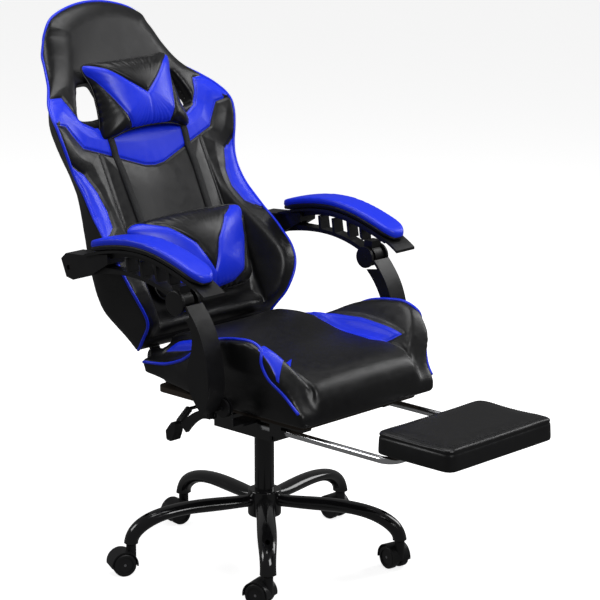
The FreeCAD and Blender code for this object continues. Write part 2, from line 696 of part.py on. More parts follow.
def back_frame():
    x1 = frame_side_x()
    x0 = x1 - recliner_plate
    disc = cylinder_x(recliner_round, x0, x1, recline_y, recline_z)
    bar_start = 12.0
    plate = prism(polyline([on_back(x0, s, t) for s, t in ((bar_start, -14), (bar_start + 48, -14),
                                                           (bar_start + 48, 16), (bar_start, 16),
                                                           (bar_start, -14))]), vec(recliner_plate, 0, 0))
    low, high = frame_start, frame_top
    bar = prism(polyline([on_back(x1 - frame_bar, s, t) for s, t in ((low, -8), (high, -8),
                                                                    (high, 6), (low, 6), (low, -8))]),
                vec(frame_bar, 0, 0))
    side = join([disc, plate, bar])
    side = side.cut(cylinder_x(recliner_pin_radius + shaft_gap, x0 - 1, x1 + 1, recline_y, recline_z))
    crossbars = [prism(polyline([on_back(-x1, s, t) for s, t in ((at, -8), (at + frame_bar, -8),
                                                                  (at + frame_bar, 6), (at, 6), (at, -8))]),
                       vec(2 * x1, 0, 0)) for at in (low + 30, high - frame_bar)]
    studs = arm_studs()
    return join([side, mirrored(side)] + crossbars + [studs, mirrored(studs)])


def back_side_profile(front, rear):
    """Prism wider than the backrest between a front and a rear line of (s, t) points."""
    x0 = -shoulder_half_width - 40
    top = [on_back(x0, s, t) for s, t in front]
    low = [on_back(x0, s, t) for s, t in rear]
    ends = [Part.makeLine(top[0], low[0]), Part.makeLine(top[-1], low[-1])]
    return prism([smooth(top), smooth(low)] + ends, vec(-2 * x0, 0, 0))


def back_pad(frame):
    front = [(0, 34), (150, 38), (300, 36), (450, 32), (560, 26), (680, 8), (840, -8)]
    rear = [(0, -20), (150, -24), (300, -24), (450, -20), (560, -20), (680, -32), (840, -48)]
    column = Part.Face(back_outline(-140)).extrude(back_out * 360)
    pad = column.common(back_side_profile(front, rear))
    opening = neck_opening()
    return pad.cut(opening).cut(mirrored(opening)).cut(frame)


def back_wing(pad, frame):
    """Right-hand (-X) lower wing, standing out of the front of the backrest."""
    front = [(52, 44), (76, 74), (128, 108), (193, 98), (273, 66), (328, 46), (400, 36)]
    rear = [(52, 20), (128, 24), (193, 24), (273, 24), (400, 20)]
    column = Part.Face(back_outline(-140)).extrude(back_out * 360)
    profile = column.common(back_side_profile(front, rear))
    section = [(-162, 10), (-162, 44), (-215, 112), (-300, 112), (-300, 10)]
    points = [vec(x, 0, 0) + back_origin + back_up * 40 + back_out * t for x, t in section]
    slope = prism(polyline(points + points[:1]), back_up * 400)
    return profile.common(slope).cut(pad).cut(frame)


def pillow(half_low, half_high, s0, s1, t0, t1):
    corners = [(-half_low, s0), (half_low, s0), (half_high, s1), (-half_high, s1)]
    points = [on_back(x, s, t0) for x, s in corners]
    solid = prism(polyline(points + points[:1]), back_out * (t1 - t0))
    return solid.makeFillet((t1 - t0) * 0.3, solid.Edges)


# ---- everything ------------------------------------------------------------
def build_parts():
    parts = {"base_hub": base_hub(), "column_tube": column_tube(), "column_bushing": column_bushing(),
             "lift_piston": lift_piston(), "mechanism_housing": mechanism_housing(),
             "mechanism_bolts": mechanism_bolts(), "seat_board": seat_board(), "seat_cushion": seat_cushion(),
             "recliner_brackets": recliner_brackets(), "recliner_pins": recliner_pins(),
             "recliner_springs": recliner_springs(), "footrest_guides": footrest_guides(),
             "post_mounts": post_mounts(), "lever_bracket": lever_bracket(),
             "recline_lever": recline_lever(), "footrest_rails": footrest_rails(),
             "rail_end_caps": rail_end_caps(), "footrest_board": footrest_board(),
             "footrest_pad": footrest_pad(), "footrest_clips": footrest_clips()}
    legs, sockets = base_legs()
    for index, leg in enumerate(legs):
        parts[f"base_leg_{index + 1}"] = leg
    parts["leg_end_sockets"] = group(sockets)
    for index in range(leg_count):
        pins, hood, wheels = caster_parts()
        parts[f"caster_pins_{index + 1}"] = place_caster(pins, index)
        parts[f"caster_hood_{index + 1}"] = place_caster(hood, index)
        parts[f"caster_wheels_{index + 1}"] = place_caster(wheels, index)
    rod, bellows, paddle = height_lever()
    parts.update({"height_lever_rod": rod, "height_lever_bellows": bellows, "height_lever_paddle": paddle})
    frame = back_frame()
    pad = back_pad(frame)
    parts["back_frame"] = frame
    parts["back_pad"] = pad
    sided = {"seat_bolster": seat_bolster(), "arm_post": arm_post(), "arm_pad": arm_pad(),
             "arm_frame": arm_frame(), "arm_knob": arm_knob(), "back_wing": back_wing(pad, frame)}
    for name, shape in sided.items():
        parts[f"{name}_right"] = shape
        parts[f"{name}_left"] = mirrored(shape)
    parts["head_pillow"] = pillow(100, 124, 505, 664, 34, 74)
    parts["lumbar_pillow"] = pillow(146, 158, 106, 296, 42, 116)
    return parts


os.makedirs("parts", exist_ok=True)
for node, shape in build_parts().items():
    if not shape.isValid():
        print("not valid:", node)
    shape.exportStep(f"parts/{node}.step")
    print(node, len(shape.Solids), round(shape.Volume / 1000.0, 1), "cm3")
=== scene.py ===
import json
import math

import bmesh
import bpy
import numpy as np
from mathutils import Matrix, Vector
from mathutils.bvhtree import BVHTree


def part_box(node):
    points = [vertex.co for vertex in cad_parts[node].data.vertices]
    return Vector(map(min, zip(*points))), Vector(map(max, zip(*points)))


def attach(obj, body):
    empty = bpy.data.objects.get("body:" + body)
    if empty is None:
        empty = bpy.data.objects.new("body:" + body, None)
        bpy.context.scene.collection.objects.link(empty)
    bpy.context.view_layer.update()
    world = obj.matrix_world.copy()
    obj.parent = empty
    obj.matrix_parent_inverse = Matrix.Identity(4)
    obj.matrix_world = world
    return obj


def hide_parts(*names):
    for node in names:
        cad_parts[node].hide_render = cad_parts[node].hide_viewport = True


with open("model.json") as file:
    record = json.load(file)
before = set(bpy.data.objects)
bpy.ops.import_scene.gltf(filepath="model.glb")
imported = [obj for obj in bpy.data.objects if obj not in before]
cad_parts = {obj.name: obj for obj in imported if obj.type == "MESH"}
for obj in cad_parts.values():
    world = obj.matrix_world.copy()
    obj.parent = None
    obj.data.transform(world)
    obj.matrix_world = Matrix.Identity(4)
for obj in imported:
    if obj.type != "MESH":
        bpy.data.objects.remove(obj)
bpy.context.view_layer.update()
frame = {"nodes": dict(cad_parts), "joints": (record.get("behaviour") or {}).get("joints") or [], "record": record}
NODES = frame["nodes"]
JOINTS = {joint["name"]: joint for joint in frame["joints"]}

# ---- the backrest's own axes: s runs up it from the recline axis, t out of its front ----
REST_LEAN = math.radians(25.0)
RECLINE = np.array(JOINTS["recline"]["pos_m"])
BACK_UP = np.array([0.0, math.sin(REST_LEAN), math.cos(REST_LEAN)])
BACK_OUT = np.array([0.0, -math.cos(REST_LEAN), math.sin(REST_LEAN)])


def on_back(x, s, t):
    """Points in the row frame from places on the backrest, in metres."""
    x, s, t = np.broadcast_arrays(np.asarray(x, float), s, t)
    across = np.stack([x, np.zeros_like(x), np.zeros_like(x)], -1)
    return RECLINE + across + s[..., None] * BACK_UP + t[..., None] * BACK_OUT


def to_back(points):
    """(x, s, t) of points given in the row frame."""
    rel = np.asarray(points, float) - RECLINE
    return rel[:, 0], rel @ BACK_UP, rel @ BACK_OUT


def line(pairs):
    """A smooth function through (place, value) pairs."""
    xs = np.array([p[0] for p in pairs], float)
    ys = np.array([p[1] for p in pairs], float)
    slope = np.gradient(ys, xs)

    def value(x):
        x = np.clip(x, xs[0], xs[-1])
        i = np.clip(np.searchsorted(xs, x) - 1, 0, len(xs) - 2)
        h = xs[i + 1] - xs[i]
        u = (x - xs[i]) / h
        return ((2 * u ** 3 - 3 * u ** 2 + 1) * ys[i] + (u ** 3 - 2 * u ** 2 + u) * h * slope[i]
                + (3 * u ** 2 - 2 * u ** 3) * ys[i + 1] + (u ** 3 - u ** 2) * h * slope[i + 1])

    return value


def smoothstep(x):
    x = np.clip(x, 0.0, 1.0)
    return x * x * (3 - 2 * x)


PIPING_RADIUS, WELT_RADIUS = 0.0034, 0.0021
STITCH_STEP = 0.003
STRAP_WIDTH, STRAP_THICKNESS, STRAP_LIFT = 0.018, 0.0016, 0.0012
FOOTREST_STITCH_CORNER = 0.028


# ---- mesh helpers ----------------------------------------------------------
def make_object(name, verts, faces):
    mesh = bpy.data.meshes.new(name)
    mesh.from_pydata([tuple(v) for v in verts], [], faces)
    mesh.validate()
    obj = bpy.data.objects.new(name, mesh)
    bpy.context.scene.collection.objects.link(obj)
    outward(obj)
    return obj


def outward(obj):
    """Joins points that lie together and turns every face outwards."""
    work = bmesh.new()
    work.from_mesh(obj.data)
    bmesh.ops.remove_doubles(work, verts=work.verts, dist=1e-6)
    bmesh.ops.recalc_face_normals(work, faces=work.faces)
    work.to_mesh(obj.data)
    work.free()


def coords(obj):
    co = np.empty(len(obj.data.vertices) * 3)
    obj.data.vertices.foreach_get("co", co)
    return co.reshape(-1, 3)


def set_coords(obj, co):
    obj.data.vertices.foreach_set("co", np.ascontiguousarray(co, float).ravel())
    obj.data.update()


def normals(obj):
    no = np.empty(len(obj.data.vertices) * 3)
    obj.data.vertex_normals.foreach_get("vector", no)
    return no.reshape(-1, 3)


def apply_modifiers(obj):
    """Replaces the object's mesh with what its modifiers make of it."""
    graph = bpy.context.evaluated_depsgraph_get()
    graph.update()
    mesh = bpy.data.meshes.new_from_object(obj.evaluated_get(graph))
    old = obj.data
    obj.modifiers.clear()
    obj.data = mesh
    mesh.name = obj.name
    bpy.data.meshes.remove(old)


def modify(obj, kind, **values):
    modifier = obj.modifiers.new(kind.lower(), kind)
    for key, value in values.items():
        setattr(modifier, key, value)
    return modifier


def soften(obj, voxel=0.005, rounds=6):
    """One even closed skin over whatever closed meshes obj holds, with its edges rounded off."""
    modify(obj, "REMESH", mode="VOXEL", voxel_size=voxel, use_smooth_shade=True)
    if rounds:
        modify(obj, "SMOOTH", factor=0.5, iterations=rounds)
    apply_modifiers(obj)


def refine(obj):
    """One level of subdivision."""
    modify(obj, "SUBSURF", levels=1, render_levels=1)
    apply_modifiers(obj)


def shade_smooth(obj):
    obj.data.polygons.foreach_set("use_smooth", [True] * len(obj.data.polygons))


def copy_of_node(name, node):
    """A new object with its own copy of a CAD node's mesh; the node itself stays as it is."""
    obj = bpy.data.objects.new(name, NODES[node].data.copy())
    obj.data.materials.clear()
    bpy.context.scene.collection.objects.link(obj)
    outward(obj)
    return obj


def puff(obj, pressure=4.0, cap=0.008, still=None, frames=20, ease=4):
    """Cloth under inner pressure; no point moves further than cap, and points in still stay put.
    The movement is evened out between neighbours ease times, so that a taut cover stays smooth."""
    before = coords(obj)
    cloth = modify(obj, "CLOTH")
    cloth.settings.quality = 4
    cloth.settings.mass = 0.3
    cloth.settings.tension_stiffness = 18
    cloth.settings.compression_stiffness = 14
    cloth.settings.bending_stiffness = 0.6
    cloth.settings.use_pressure = True
    cloth.settings.uniform_pressure_force = pressure
    cloth.settings.effector_weights.gravity = 0.0
    if still is not None:
        group = obj.vertex_groups.new(name="still")
        group.add([int(i) for i in np.nonzero(still)[0]], 1.0, "REPLACE")
        cloth.settings.vertex_group_mass = "still"
    cloth.point_cache.frame_start = 1
    cloth.point_cache.frame_end = frames
    scene = bpy.context.scene
    for step in range(1, frames + 1):
        scene.frame_set(step)
    apply_modifiers(obj)
    scene.frame_set(1)
    move = coords(obj) - before
    length = np.linalg.norm(move, axis=1, keepdims=True)
    move *= np.minimum(1.0, cap / np.maximum(length, 1e-9))
    ends = np.empty(len(obj.data.edges) * 2, np.int32)
    obj.data.edges.foreach_get("vertices", ends)
    ends = ends.reshape(-1, 2)
    count = np.maximum(np.bincount(ends.ravel(), minlength=len(move)), 1)[:, None]
    for _ in range(ease):
        total = np.stack([np.bincount(ends[:, 0], move[ends[:, 1], k], len(move))
                          + np.bincount(ends[:, 1], move[ends[:, 0], k], len(move)) for k in range(3)], 1)
        move = 0.4 * move + 0.6 * total / count
    set_coords(obj, before + move)
    if still is not None:
        obj.vertex_groups.clear()


def distance_to_line(px, py, points, closed=False):
    """Distance of each (px, py) to a polyline."""
    pts = np.array(points, float)
    if closed:
        pts = np.vstack([pts, pts[:1]])
    best = np.full(px.shape, 1e9)
    for a, b in zip(pts, pts[1:]):
        run = b - a
        k = np.clip(((px - a[0]) * run[0] + (py - a[1]) * run[1]) / max(run @ run, 1e-12), 0, 1)
        best = np.minimum(best, np.hypot(px - a[0] - k * run[0], py - a[1] - k * run[1]))
    return best


def signed_distance(px, py, polygon):
    """Positive inside the polygon, negative outside, in metres."""
    pts = np.array(polygon, float)
    inside = np.zeros(px.shape, bool)
    for (x0, y0), (x1, y1) in zip(pts, np.roll(pts, -1, axis=0)):
        crosses = (y0 > py) != (y1 > py)
        inside ^= crosses & (px < (x1 - x0) * (py - y0) / (y1 - y0 + 1e-15) + x0)
    away = distance_to_line(px, py, polygon, closed=True)
    return np.where(inside, away, -away)


def rounded_outline(points, steps=10):
    """A closed smooth outline through a few points."""
    pts = np.array(points, float)
    out = []
    for i in range(len(pts)):
        p0, p1, p2, p3 = (pts[(i + k) % len(pts)] for k in (-1, 0, 1, 2))
        for u in np.arange(steps) / steps:
            out.append(0.5 * (2 * p1 + (p2 - p0) * u + (2 * p0 - 5 * p1 + 4 * p2 - p3) * u ** 2
                              + (3 * p1 - p0 - 3 * p2 + p3) * u ** 3))
    return np.array(out)


def smooth_path(points, steps=8):
    """Points along an open smooth curve through a few points."""
    pts = np.array(points, float)
    ends = np.vstack([2 * pts[0] - pts[1], pts, 2 * pts[-1] - pts[-2]])
    out = []
    for i in range(1, len(ends) - 2):
        p0, p1, p2, p3 = ends[i - 1:i + 3]
        for u in np.arange(steps) / steps:
            out.append(0.5 * (2 * p1 + (p2 - p0) * u + (2 * p0 - 5 * p1 + 4 * p2 - p3) * u ** 2
                              + (3 * p1 - p0 - 3 * p2 + p3) * u ** 3))
    out.append(pts[-1])
    return np.array(out)


def set_attribute(obj, name, values):
    """One number per vertex for the materials to read."""
    layer = obj.data.attributes.get(name) or obj.data.attributes.new(name, "FLOAT", "POINT")
    layer.data.foreach_set("value", np.ascontiguousarray(values, np.float32))


def tube(name, points, radius, closed=False, sides=10):
    """A round closed mesh tube along points."""
    pts = np.array(points, float)
    n = len(pts)
    if closed:
        run = np.roll(pts, -1, axis=0) - np.roll(pts, 1, axis=0)
    else:
        run = np.gradient(pts, axis=0)
    run /= np.maximum(np.linalg.norm(run, axis=1, keepdims=True), 1e-12)
    side = np.cross(run[0], [0.3, 0.5, 0.8])
    verts = []
    for p, d in zip(pts, run):
        side = side - d * (side @ d)
        side /= np.linalg.norm(side)
        up = np.cross(d, side)
        for k in range(sides):
            a = 2 * math.pi * k / sides
            verts.append(p + radius * (math.cos(a) * side + math.sin(a) * up))
    faces = []
    for i in range(n if closed else n - 1):
        j = (i + 1) % n
        for k in range(sides):
            m = (k + 1) % sides
            faces.append((i * sides + k, i * sides + m, j * sides + m, j * sides + k))
    if not closed:
        faces.append(tuple(range(sides - 1, -1, -1)))
        faces.append(tuple(range((n - 1) * sides, n * sides)))
    obj = make_object(name, verts, faces)
    shade_smooth(obj)
    return obj


def surface_of(*objs):
    """A search tree over the meshes' surfaces."""
    verts, faces = [], []
    for obj in objs:
        start = len(verts)
        verts += [tuple(v.co) for v in obj.data.vertices]
        faces += [tuple(start + i for i in p.vertices) for p in obj.data.polygons]
    return BVHTree.FromPolygons(verts, faces)


def laid_on(tree, points, lift):
    """Each point moved onto the surface, then out along its normal by lift."""
    out = []
    for p in points:
        place, normal, _, _ = tree.find_nearest(Vector(p))
        out.append(np.array(place) + np.array(normal) * lift)
    return np.array(out)


def cast_onto(tree, points, direction, reach):
    """Where rays from the points meet the surface, without those that miss it."""
    hits = []
    for p in points:
        place, _, _, _ = tree.ray_cast(Vector(p), Vector(direction), reach)
        if place is not None:
            hits.append(np.array(place))
    return np.array(hits)


def even(points, gap):
    """The same path with points a fixed gap apart."""
    pts = np.array(points, float)
    length = np.concatenate([[0], np.cumsum(np.linalg.norm(np.diff(pts, axis=0), axis=1))])
    count = max(int(length[-1] / gap), 2)
    at = np.linspace(0, length[-1], count + 1)
    return np.stack([np.interp(at, length, pts[:, k]) for k in range(3)], 1)


def relaxed(points, rounds=3, closed=False):
    """The path with small kinks smoothed out."""
    pts = np.array(points, float)
    for _ in range(rounds):
        if closed:
            pts = 0.5 * pts + 0.25 * (np.roll(pts, 1, axis=0) + np.roll(pts, -1, axis=0))
        else:
            pts[1:-1] = 0.5 * pts[1:-1] + 0.25 * (pts[:-2] + pts[2:])
    return pts


def stitches(name, points, tree, length=0.0045, gap=0.0022, radius=0.00045, lift=0.0004):
    """A row of thread stitches lying on a surface, as one object of closed capsules."""
    path = even(laid_on(tree, even(points, 0.004), lift), length + gap)
    verts, faces = [], []
    sides = 5
    for a, b in zip(path, path[1:]):
        run = b - a
        full = np.linalg.norm(run)
        if full < length * 0.6 or full > (length + gap) * 2:
            continue
        d = run / full
        side = np.cross(d, [0.31, 0.47, 0.83])
        side /= np.linalg.norm(side)
        up = np.cross(d, side)
        start = len(verts)
        for at, size in ((0.0, 0.35), (0.2, 1.0), (0.8, 1.0), (1.0, 0.35)):
            centre = a + d * length * at
            for k in range(sides):
                turn = 2 * math.pi * k / sides
                verts.append(centre + radius * size * (math.cos(turn) * side + math.sin(turn) * up))
        for r in range(3):
            for k in range(sides):
                m = (k + 1) % sides
                p, q = start + r * sides, start + (r + 1) * sides
                faces.append((p + k, p + m, q + m, q + k))
        faces.append(tuple(start + k for k in range(sides - 1, -1, -1)))
        faces.append(tuple(start + 3 * sides + k for k in range(sides)))
    return make_object(name, verts, faces)


def united(name, parts):
    """One object holding the meshes of several closed ones, which are removed."""
    verts, faces = [], []
    for obj in parts:
        start = len(verts)
        verts += [tuple(v.co) for v in obj.data.vertices]
        faces += [tuple(start + i for i in p.vertices) for p in obj.data.polygons]
        bpy.data.objects.remove(obj)
    mesh = bpy.data.meshes.new(name)
    mesh.from_pydata(verts, [], faces)
    obj = bpy.data.objects.new(name, mesh)
    bpy.context.scene.collection.objects.link(obj)
    return obj


def ribbon(name, points, width, thickness, across):
    """A flat closed band along points; across is the direction of its width."""
    pts = np.array(points, float)
    run = np.gradient(pts, axis=0)
    run /= np.linalg.norm(run, axis=1, keepdims=True)
    wide = np.array(across, float)
    verts, faces = [], []
    for p, d in zip(pts, run):
        side = wide - d * (wide @ d)
        side /= np.linalg.norm(side)
        up = np.cross(d, side)
        for a, b in ((1, 1), (-1, 1), (-1, -1), (1, -1)):
            verts.append(p + side * a * width / 2 + up * b * thickness / 2)
    for i in range(len(pts) - 1):
        for k in range(4):
            m = (k + 1) % 4
            faces.append((i * 4 + k, i * 4 + m, i * 4 + 4 + m, i * 4 + 4 + k))
    faces.append((3, 2, 1, 0))
    last = (len(pts) - 1) * 4
    faces.append((last, last + 1, last + 2, last + 3))
    return make_object(name, verts, faces)


# ---- materials --------------------------------------------------------------
def nodes_of(material):
    material.use_nodes = True
    tree = material.node_tree
    return tree, tree.nodes["Principled BSDF"]


def bumped(tree, shader, height, strength, distance, normal=None):
    bump = tree.nodes.new("ShaderNodeBump")
    bump.inputs["Strength"].default_value = strength
    bump.inputs["Distance"].default_value = distance
    tree.links.new(height, bump.inputs["Height"])
    if normal is not None:
        tree.links.new(normal, bump.inputs["Normal"])
    tree.links.new(bump.outputs["Normal"], shader.inputs["Normal"])
    return bump.outputs["Normal"]


def texture(tree, kind, scale, place, **inputs):
    node = tree.nodes.new(kind)
    node.inputs["Scale"].default_value = scale
    for key, value in inputs.items():
        node.inputs[key].default_value = value
    tree.links.new(place, node.inputs["Vector"])
    return node


def ramp(tree, value, low, high, from_low=0.0, from_high=1.0):
    """The value stretched from one range onto another."""
    node = tree.nodes.new("ShaderNodeMapRange")
    node.inputs["From Min"].default_value = from_low
    node.inputs["From Max"].default_value = from_high
    node.inputs["To Min"].default_value = low
    node.inputs["To Max"].default_value = high
    tree.links.new(value, node.inputs["Value"])
    return node.outputs["Result"]


BLACK_PU = (0.0065, 0.0065, 0.0072, 1.0)
BLUE_PU = (0.010, 0.040, 1.0, 1.0)


def leather(name, colour, two_tone=False):
    """Smooth synthetic leather: fine pebble grain, faint soft ripples, uneven sheen."""
    material = bpy.data.materials.new(name)
    tree, shader = nodes_of(material)
    place = tree.nodes.new("ShaderNodeTexCoord").outputs["Object"]
    grain = texture(tree, "ShaderNodeTexVoronoi", 620.0, place)
    ripple = texture(tree, "ShaderNodeTexNoise", 14.0, place, Detail=1.5, Roughness=0.4)
    sheen = texture(tree, "ShaderNodeTexNoise", 60.0, place, Detail=4.0, Roughness=0.6)
    tree.links.new(ramp(tree, sheen.outputs["Fac"], 0.30, 0.42, 0.3, 0.7), shader.inputs["Roughness"])
    first = bumped(tree, shader, ripple.outputs["Fac"], 0.3, 0.003)
    bumped(tree, shader, grain.outputs["Distance"], 0.16, 0.00035, first)
    shader.inputs["Specular IOR Level"].default_value = 0.5
    if two_tone:
        edge = tree.nodes.new("ShaderNodeAttribute")
        edge.attribute_name = "blue"
        mix = tree.nodes.new("ShaderNodeMix")
        mix.data_type = "RGBA"
        mix.inputs[6].default_value = BLACK_PU
        mix.inputs[7].default_value = BLUE_PU
        tree.links.new(ramp(tree, edge.outputs["Fac"], 0.0, 1.0, -0.0005, 0.0005), mix.inputs[0])
        tree.links.new(mix.outputs[2], shader.inputs["Base Color"])
    else:
        shader.inputs["Base Color"].default_value = colour
    return material


def plain(name, colour, roughness, spread, metallic=0.0, grain=400.0, strength=0.1, distance=0.0003,
          coat=0.0):
    """A hard finish with a fine grain in its bump and a slight unevenness in its roughness."""
    material = bpy.data.materials.new(name)
    tree, shader = nodes_of(material)
    place = tree.nodes.new("ShaderNodeTexCoord").outputs["Object"]
    fine = texture(tree, "ShaderNodeTexNoise", grain, place, Detail=3.0)
    broad = texture(tree, "ShaderNodeTexNoise", 35.0, place, Detail=3.0)
    tree.links.new(ramp(tree, broad.outputs["Fac"], roughness - spread, roughness + spread, 0.3, 0.7),
                   shader.inputs["Roughness"])
    bumped(tree, shader, fine.outputs["Fac"], strength, distance)
    shader.inputs["Base Color"].default_value = colour
    shader.inputs["Metallic"].default_value = metallic
    shader.inputs["Coat Weight"].default_value = coat
    return material


def woven(name, colour, threads):
    """Webbing or thread: crossing waves stand up in the bump."""
    material = bpy.data.materials.new(name)
    tree, shader = nodes_of(material)
    place = tree.nodes.new("ShaderNodeTexCoord").outputs["Object"]
    weave = texture(tree, "ShaderNodeTexWave", threads, place, Distortion=0.6)
    fuzz = texture(tree, "ShaderNodeTexNoise", threads * 3, place, Detail=4.0)
    tree.links.new(ramp(tree, fuzz.outputs["Fac"], 0.6, 0.85, 0.3, 0.7), shader.inputs["Roughness"])
    bumped(tree, shader, weave.outputs["Fac"], 0.5, 0.0006)
    shader.inputs["Base Color"].default_value = colour
    return material


def layered_wood(name):
    """Dark wood with its layers drawn out sideways."""
    material = bpy.data.materials.new(name)
    tree, shader = nodes_of(material)
    place = tree.nodes.new("ShaderNodeTexCoord").outputs["Object"]
    stretch = tree.nodes.new("ShaderNodeMapping")
    stretch.inputs["Scale"].default_value = (6.0, 1.0, 60.0)
    tree.links.new(place, stretch.inputs["Vector"])
    rings = texture(tree, "ShaderNodeTexNoise", 9.0, stretch.outputs["Vector"], Detail=6.0)
    colours = tree.nodes.new("ShaderNodeValToRGB")
    colours.color_ramp.elements[0].color = (0.03, 0.022, 0.016, 1)
    colours.color_ramp.elements[1].color = (0.07, 0.05, 0.035, 1)
    tree.links.new(rings.outputs["Fac"], colours.inputs["Fac"])
    tree.links.new(colours.outputs["Color"], shader.inputs["Base Color"])
    tree.links.new(ramp(tree, rings.outputs["Fac"], 0.6, 0.8), shader.inputs["Roughness"])
    bumped(tree, shader, rings.outputs["Fac"], 0.2, 0.0005)
    return material


TWO_TONE = leather("two_tone_leather", BLACK_PU, two_tone=True)
BLACK_LEATHER = leather("black_leather", BLACK_PU)
BLUE_LEATHER = leather("blue_leather", BLUE_PU)
BLACK_STEEL = plain("black_steel", (0.008, 0.008, 0.009, 1), 0.16, 0.05, grain=500.0, strength=0.06, coat=0.6)
BLACK_NYLON = plain("black_nylon", (0.010, 0.010, 0.011, 1), 0.36, 0.06, grain=900.0, strength=0.25)
TREAD = plain("caster_tread", (0.012, 0.012, 0.013, 1), 0.42, 0.08, grain=700.0, strength=0.2)
ZINC = plain("zinc_steel", (0.42, 0.42, 0.44, 1), 0.34, 0.07, metallic=1.0, grain=300.0)
CHROME = plain("chrome", (0.90, 0.91, 0.93, 1), 0.20, 0.04, metallic=1.0, grain=200.0, strength=0.03)
PLYWOOD = layered_wood("plywood")
BLACK_THREAD = woven("black_thread", (0.02, 0.02, 0.022, 1), 900.0)
GREY_THREAD = woven("grey_thread", (0.035, 0.035, 0.04, 1), 900.0)
BLUE_THREAD = woven("blue_thread", (0.012, 0.04, 0.62, 1), 900.0)
WEBBING = woven("black_webbing", (0.012, 0.012, 0.013, 1), 420.0)

BY_SLOT = {"black_leather": BLACK_LEATHER, "blue_leather": BLUE_LEATHER, "black_steel": BLACK_STEEL,
           "black_nylon": BLACK_NYLON, "caster_tread": TREAD, "zinc_steel": ZINC, "chrome": CHROME,
           "plywood": PLYWOOD}
for subpart in frame["record"]["subparts"]:
    mesh = NODES[subpart["node"]].data
    mesh.materials.clear()
    mesh.materials.append(BY_SLOT[subpart["material_slot"]])


def dress(obj, body, material, slot, *replaced, fill=None):
    """Gives a finished piece its material and the body it rides on, and hides the CAD parts it replaces."""
    obj.data.materials.clear()
    obj.data.materials.append(material)
    shade_smooth(obj)
    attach(obj, body)
    if replaced:
        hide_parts(*replaced)
    return obj


# ---- backrest ---------------------------------------------------------------
def mm(pairs):
    return [(a / 1000.0, b / 1000.0) for a, b in pairs]


def both_sides(path):
    return [path, [(-x, s) for x, s in path]]


BACK_WIDTH = line(mm([(0, 188), (26, 196), (76, 222), (128, 250), (193, 255), (260, 248), (328, 240),
                      (382, 238), (436, 250), (495, 266), (554, 268), (596, 247), (650, 202), (709, 176),
                      (760, 155), (800, 118), (826, 0)]))
PIPING_DEPTH = line(mm([(14, -14), (36, 24), (58, 72), (95, 100), (130, 108), (163, 104), (209, 90),
                        (268, 68), (325, 44), (378, 33), (420, 31), (467, 42), (511, 50), (545, 48),
                        (560, 40), (610, 12), (652, -16), (692, -34), (733, -38), (787, -30), (826, -30)]))
BAND_TOP = mm([(300, 616), (290, 612), (200, 606), (186, 571), (168, 541), (140, 525), (90, 522), (0, 532)])
BAND_LOW = mm([(0, 420), (30, 424), (105, 452), (132, 462), (193, 484), (228, 537), (290, 547), (300, 548)])
LEAF_EDGE = mm([(300, 458), (245, 450), (215, 426), (196, 378), (192, 335), (203, 295), (235, 270),
                (255, 262), (300, 258)])
BOLSTER_SEAM = mm([(152, 470), (152, 303)])
LOWER_SEAM = mm([(152, 303), (162, 240), (166, 150), (160, 60)])


def mirrored_zone(half):
    """A closed outline across the middle from its right-hand half, both ends on x = 0."""
    return half + [(-x, s) for x, s in reversed(half)]


BLUE_ON_BACK = [mirrored_zone(BAND_TOP[::-1] + BAND_LOW[::-1])] + both_sides(LEAF_EDGE + mm([(340, 300)]))
BACK_SEAMS = [path for half in (BAND_TOP, BAND_LOW, LEAF_EDGE, BOLSTER_SEAM, LOWER_SEAM)
              for path in both_sides(half)]
SHOULDER_TOP, CROWN_TOP, CROWN_HALF = 0.800, 0.826, 0.118


def back_outline():
    """The backrest's outline in (x, s): up the right side, over the crown's arc and down the left."""
    side = [(float(BACK_WIDTH(s)), s) for s in np.linspace(0.020, SHOULDER_TOP, 100)]
    radius = (CROWN_HALF ** 2 + (CROWN_TOP - SHOULDER_TOP) ** 2) / (2 * (CROWN_TOP - SHOULDER_TOP))
    reach = math.asin(CROWN_HALF / radius)
    crown = [(radius * math.sin(a), CROWN_TOP - radius + radius * math.cos(a))
             for a in np.linspace(-reach, reach, 50)[1:-1]]
    return np.array([(-w, s) for w, s in side] + crown + [(w, s) for w, s in reversed(side)])


OUTLINE = back_outline()
DOME = line([(0.0, 0.030), (0.55, 0.030), (0.64, 0.050), (0.83, 0.050)])
REAR_DRAW = line([(0.0, 0.004), (0.20, 0.006), (0.36, 0.014), (0.45, 0.026), (0.60, 0.026), (0.68, 0.010),
                  (0.83, 0.0)])


def nearest_line(px, py, paths):
    return np.min([distance_to_line(px, py, path) for path in paths], axis=0)


def blue_zone(px, py, polygons):
    return np.max([signed_distance(px, py, polygon) for polygon in polygons], axis=0)


def depths_at(skin, x, s):
    """Front and rear depth of a closed shape under each (x, s)."""
    out = Vector(BACK_OUT)
    front = np.full(len(x), np.nan)
    rear = np.full(len(x), np.nan)
    for i, start in enumerate(on_back(x, s, np.full(len(x), 0.3))):
        place, _, _, _ = skin.ray_cast(Vector(start), -out, 0.6)
        if place is not None:
            front[i] = (np.array(place) - RECLINE) @ BACK_OUT
        place, _, _, _ = skin.ray_cast(Vector(start) - out * 0.6, out, 0.6)
        if place is not None:
            rear[i] = (np.array(place) - RECLINE) @ BACK_OUT
    return front, rear


